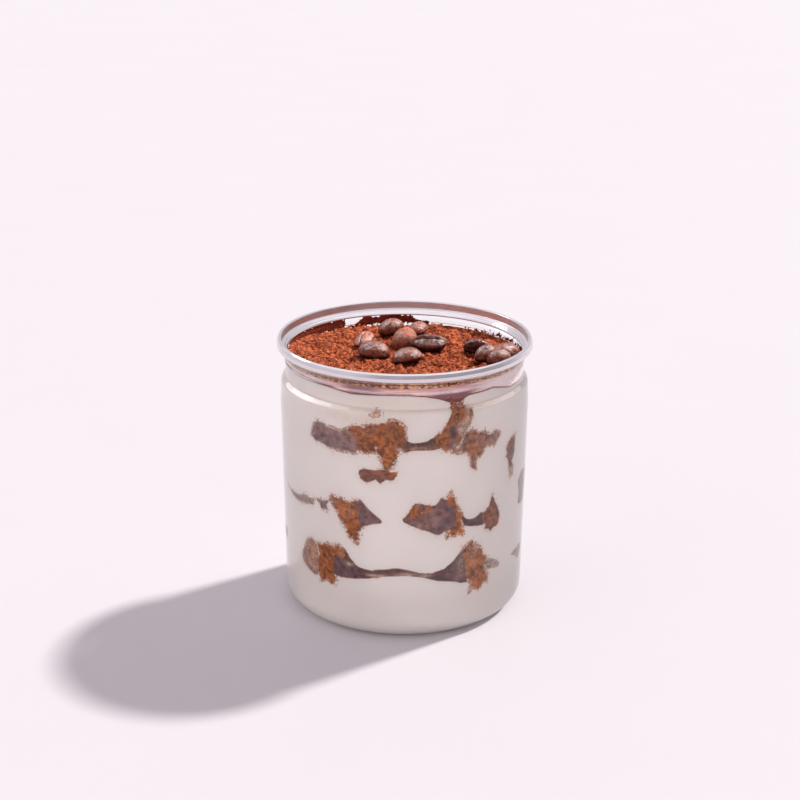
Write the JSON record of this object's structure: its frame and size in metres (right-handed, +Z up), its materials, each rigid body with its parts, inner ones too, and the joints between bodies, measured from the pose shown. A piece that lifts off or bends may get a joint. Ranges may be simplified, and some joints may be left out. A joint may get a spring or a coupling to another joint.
{
  "type": "tiramisu cup",
  "caption": "Tiramisu in a clear can-shaped jar: cream and coffee-soaked sponge layers, cocoa powder and coffee beans on top, bare metal seam ring.",
  "frame": {"origin": "middle of the base, on the surface that the jar stands on", "axes": "+Z up along the jar's axis, -Y towards the viewer of the side with the lump of fallen sponge, +X to that viewer's right"},
  "size_m": [0.0874, 0.0874, 0.0948],
  "materials": {
    "clear_plastic": "clear, glossy plastic",
    "bare_metal": "satin, rolled",
    "cream": "smooth whipped cream, soft sheen",
    "soaked_sponge": "wet, crumbly sponge",
    "cocoa": "dry, lumpy powder",
    "roasted_bean": "oily roasted skin, dusted with powder"
  },
  "bodies": {
    "root": {"jar": "clear_plastic", "rim_ring": "bare_metal", "cream": "cream", "sponge_bottom": "soaked_sponge", "sponge_middle": "soaked_sponge", "sponge_top": "soaked_sponge", "cocoa": "cocoa", "bean_01": "roasted_bean", "bean_02": "roasted_bean", "bean_03": "roasted_bean", "bean_04": "roasted_bean", "bean_05": "roasted_bean", "bean_06": "roasted_bean", "bean_07": "roasted_bean", "bean_08": "roasted_bean", "bean_09": "roasted_bean", "bean_10": "roasted_bean", "bean_11": "roasted_bean"}
  },
  "joints": []
}
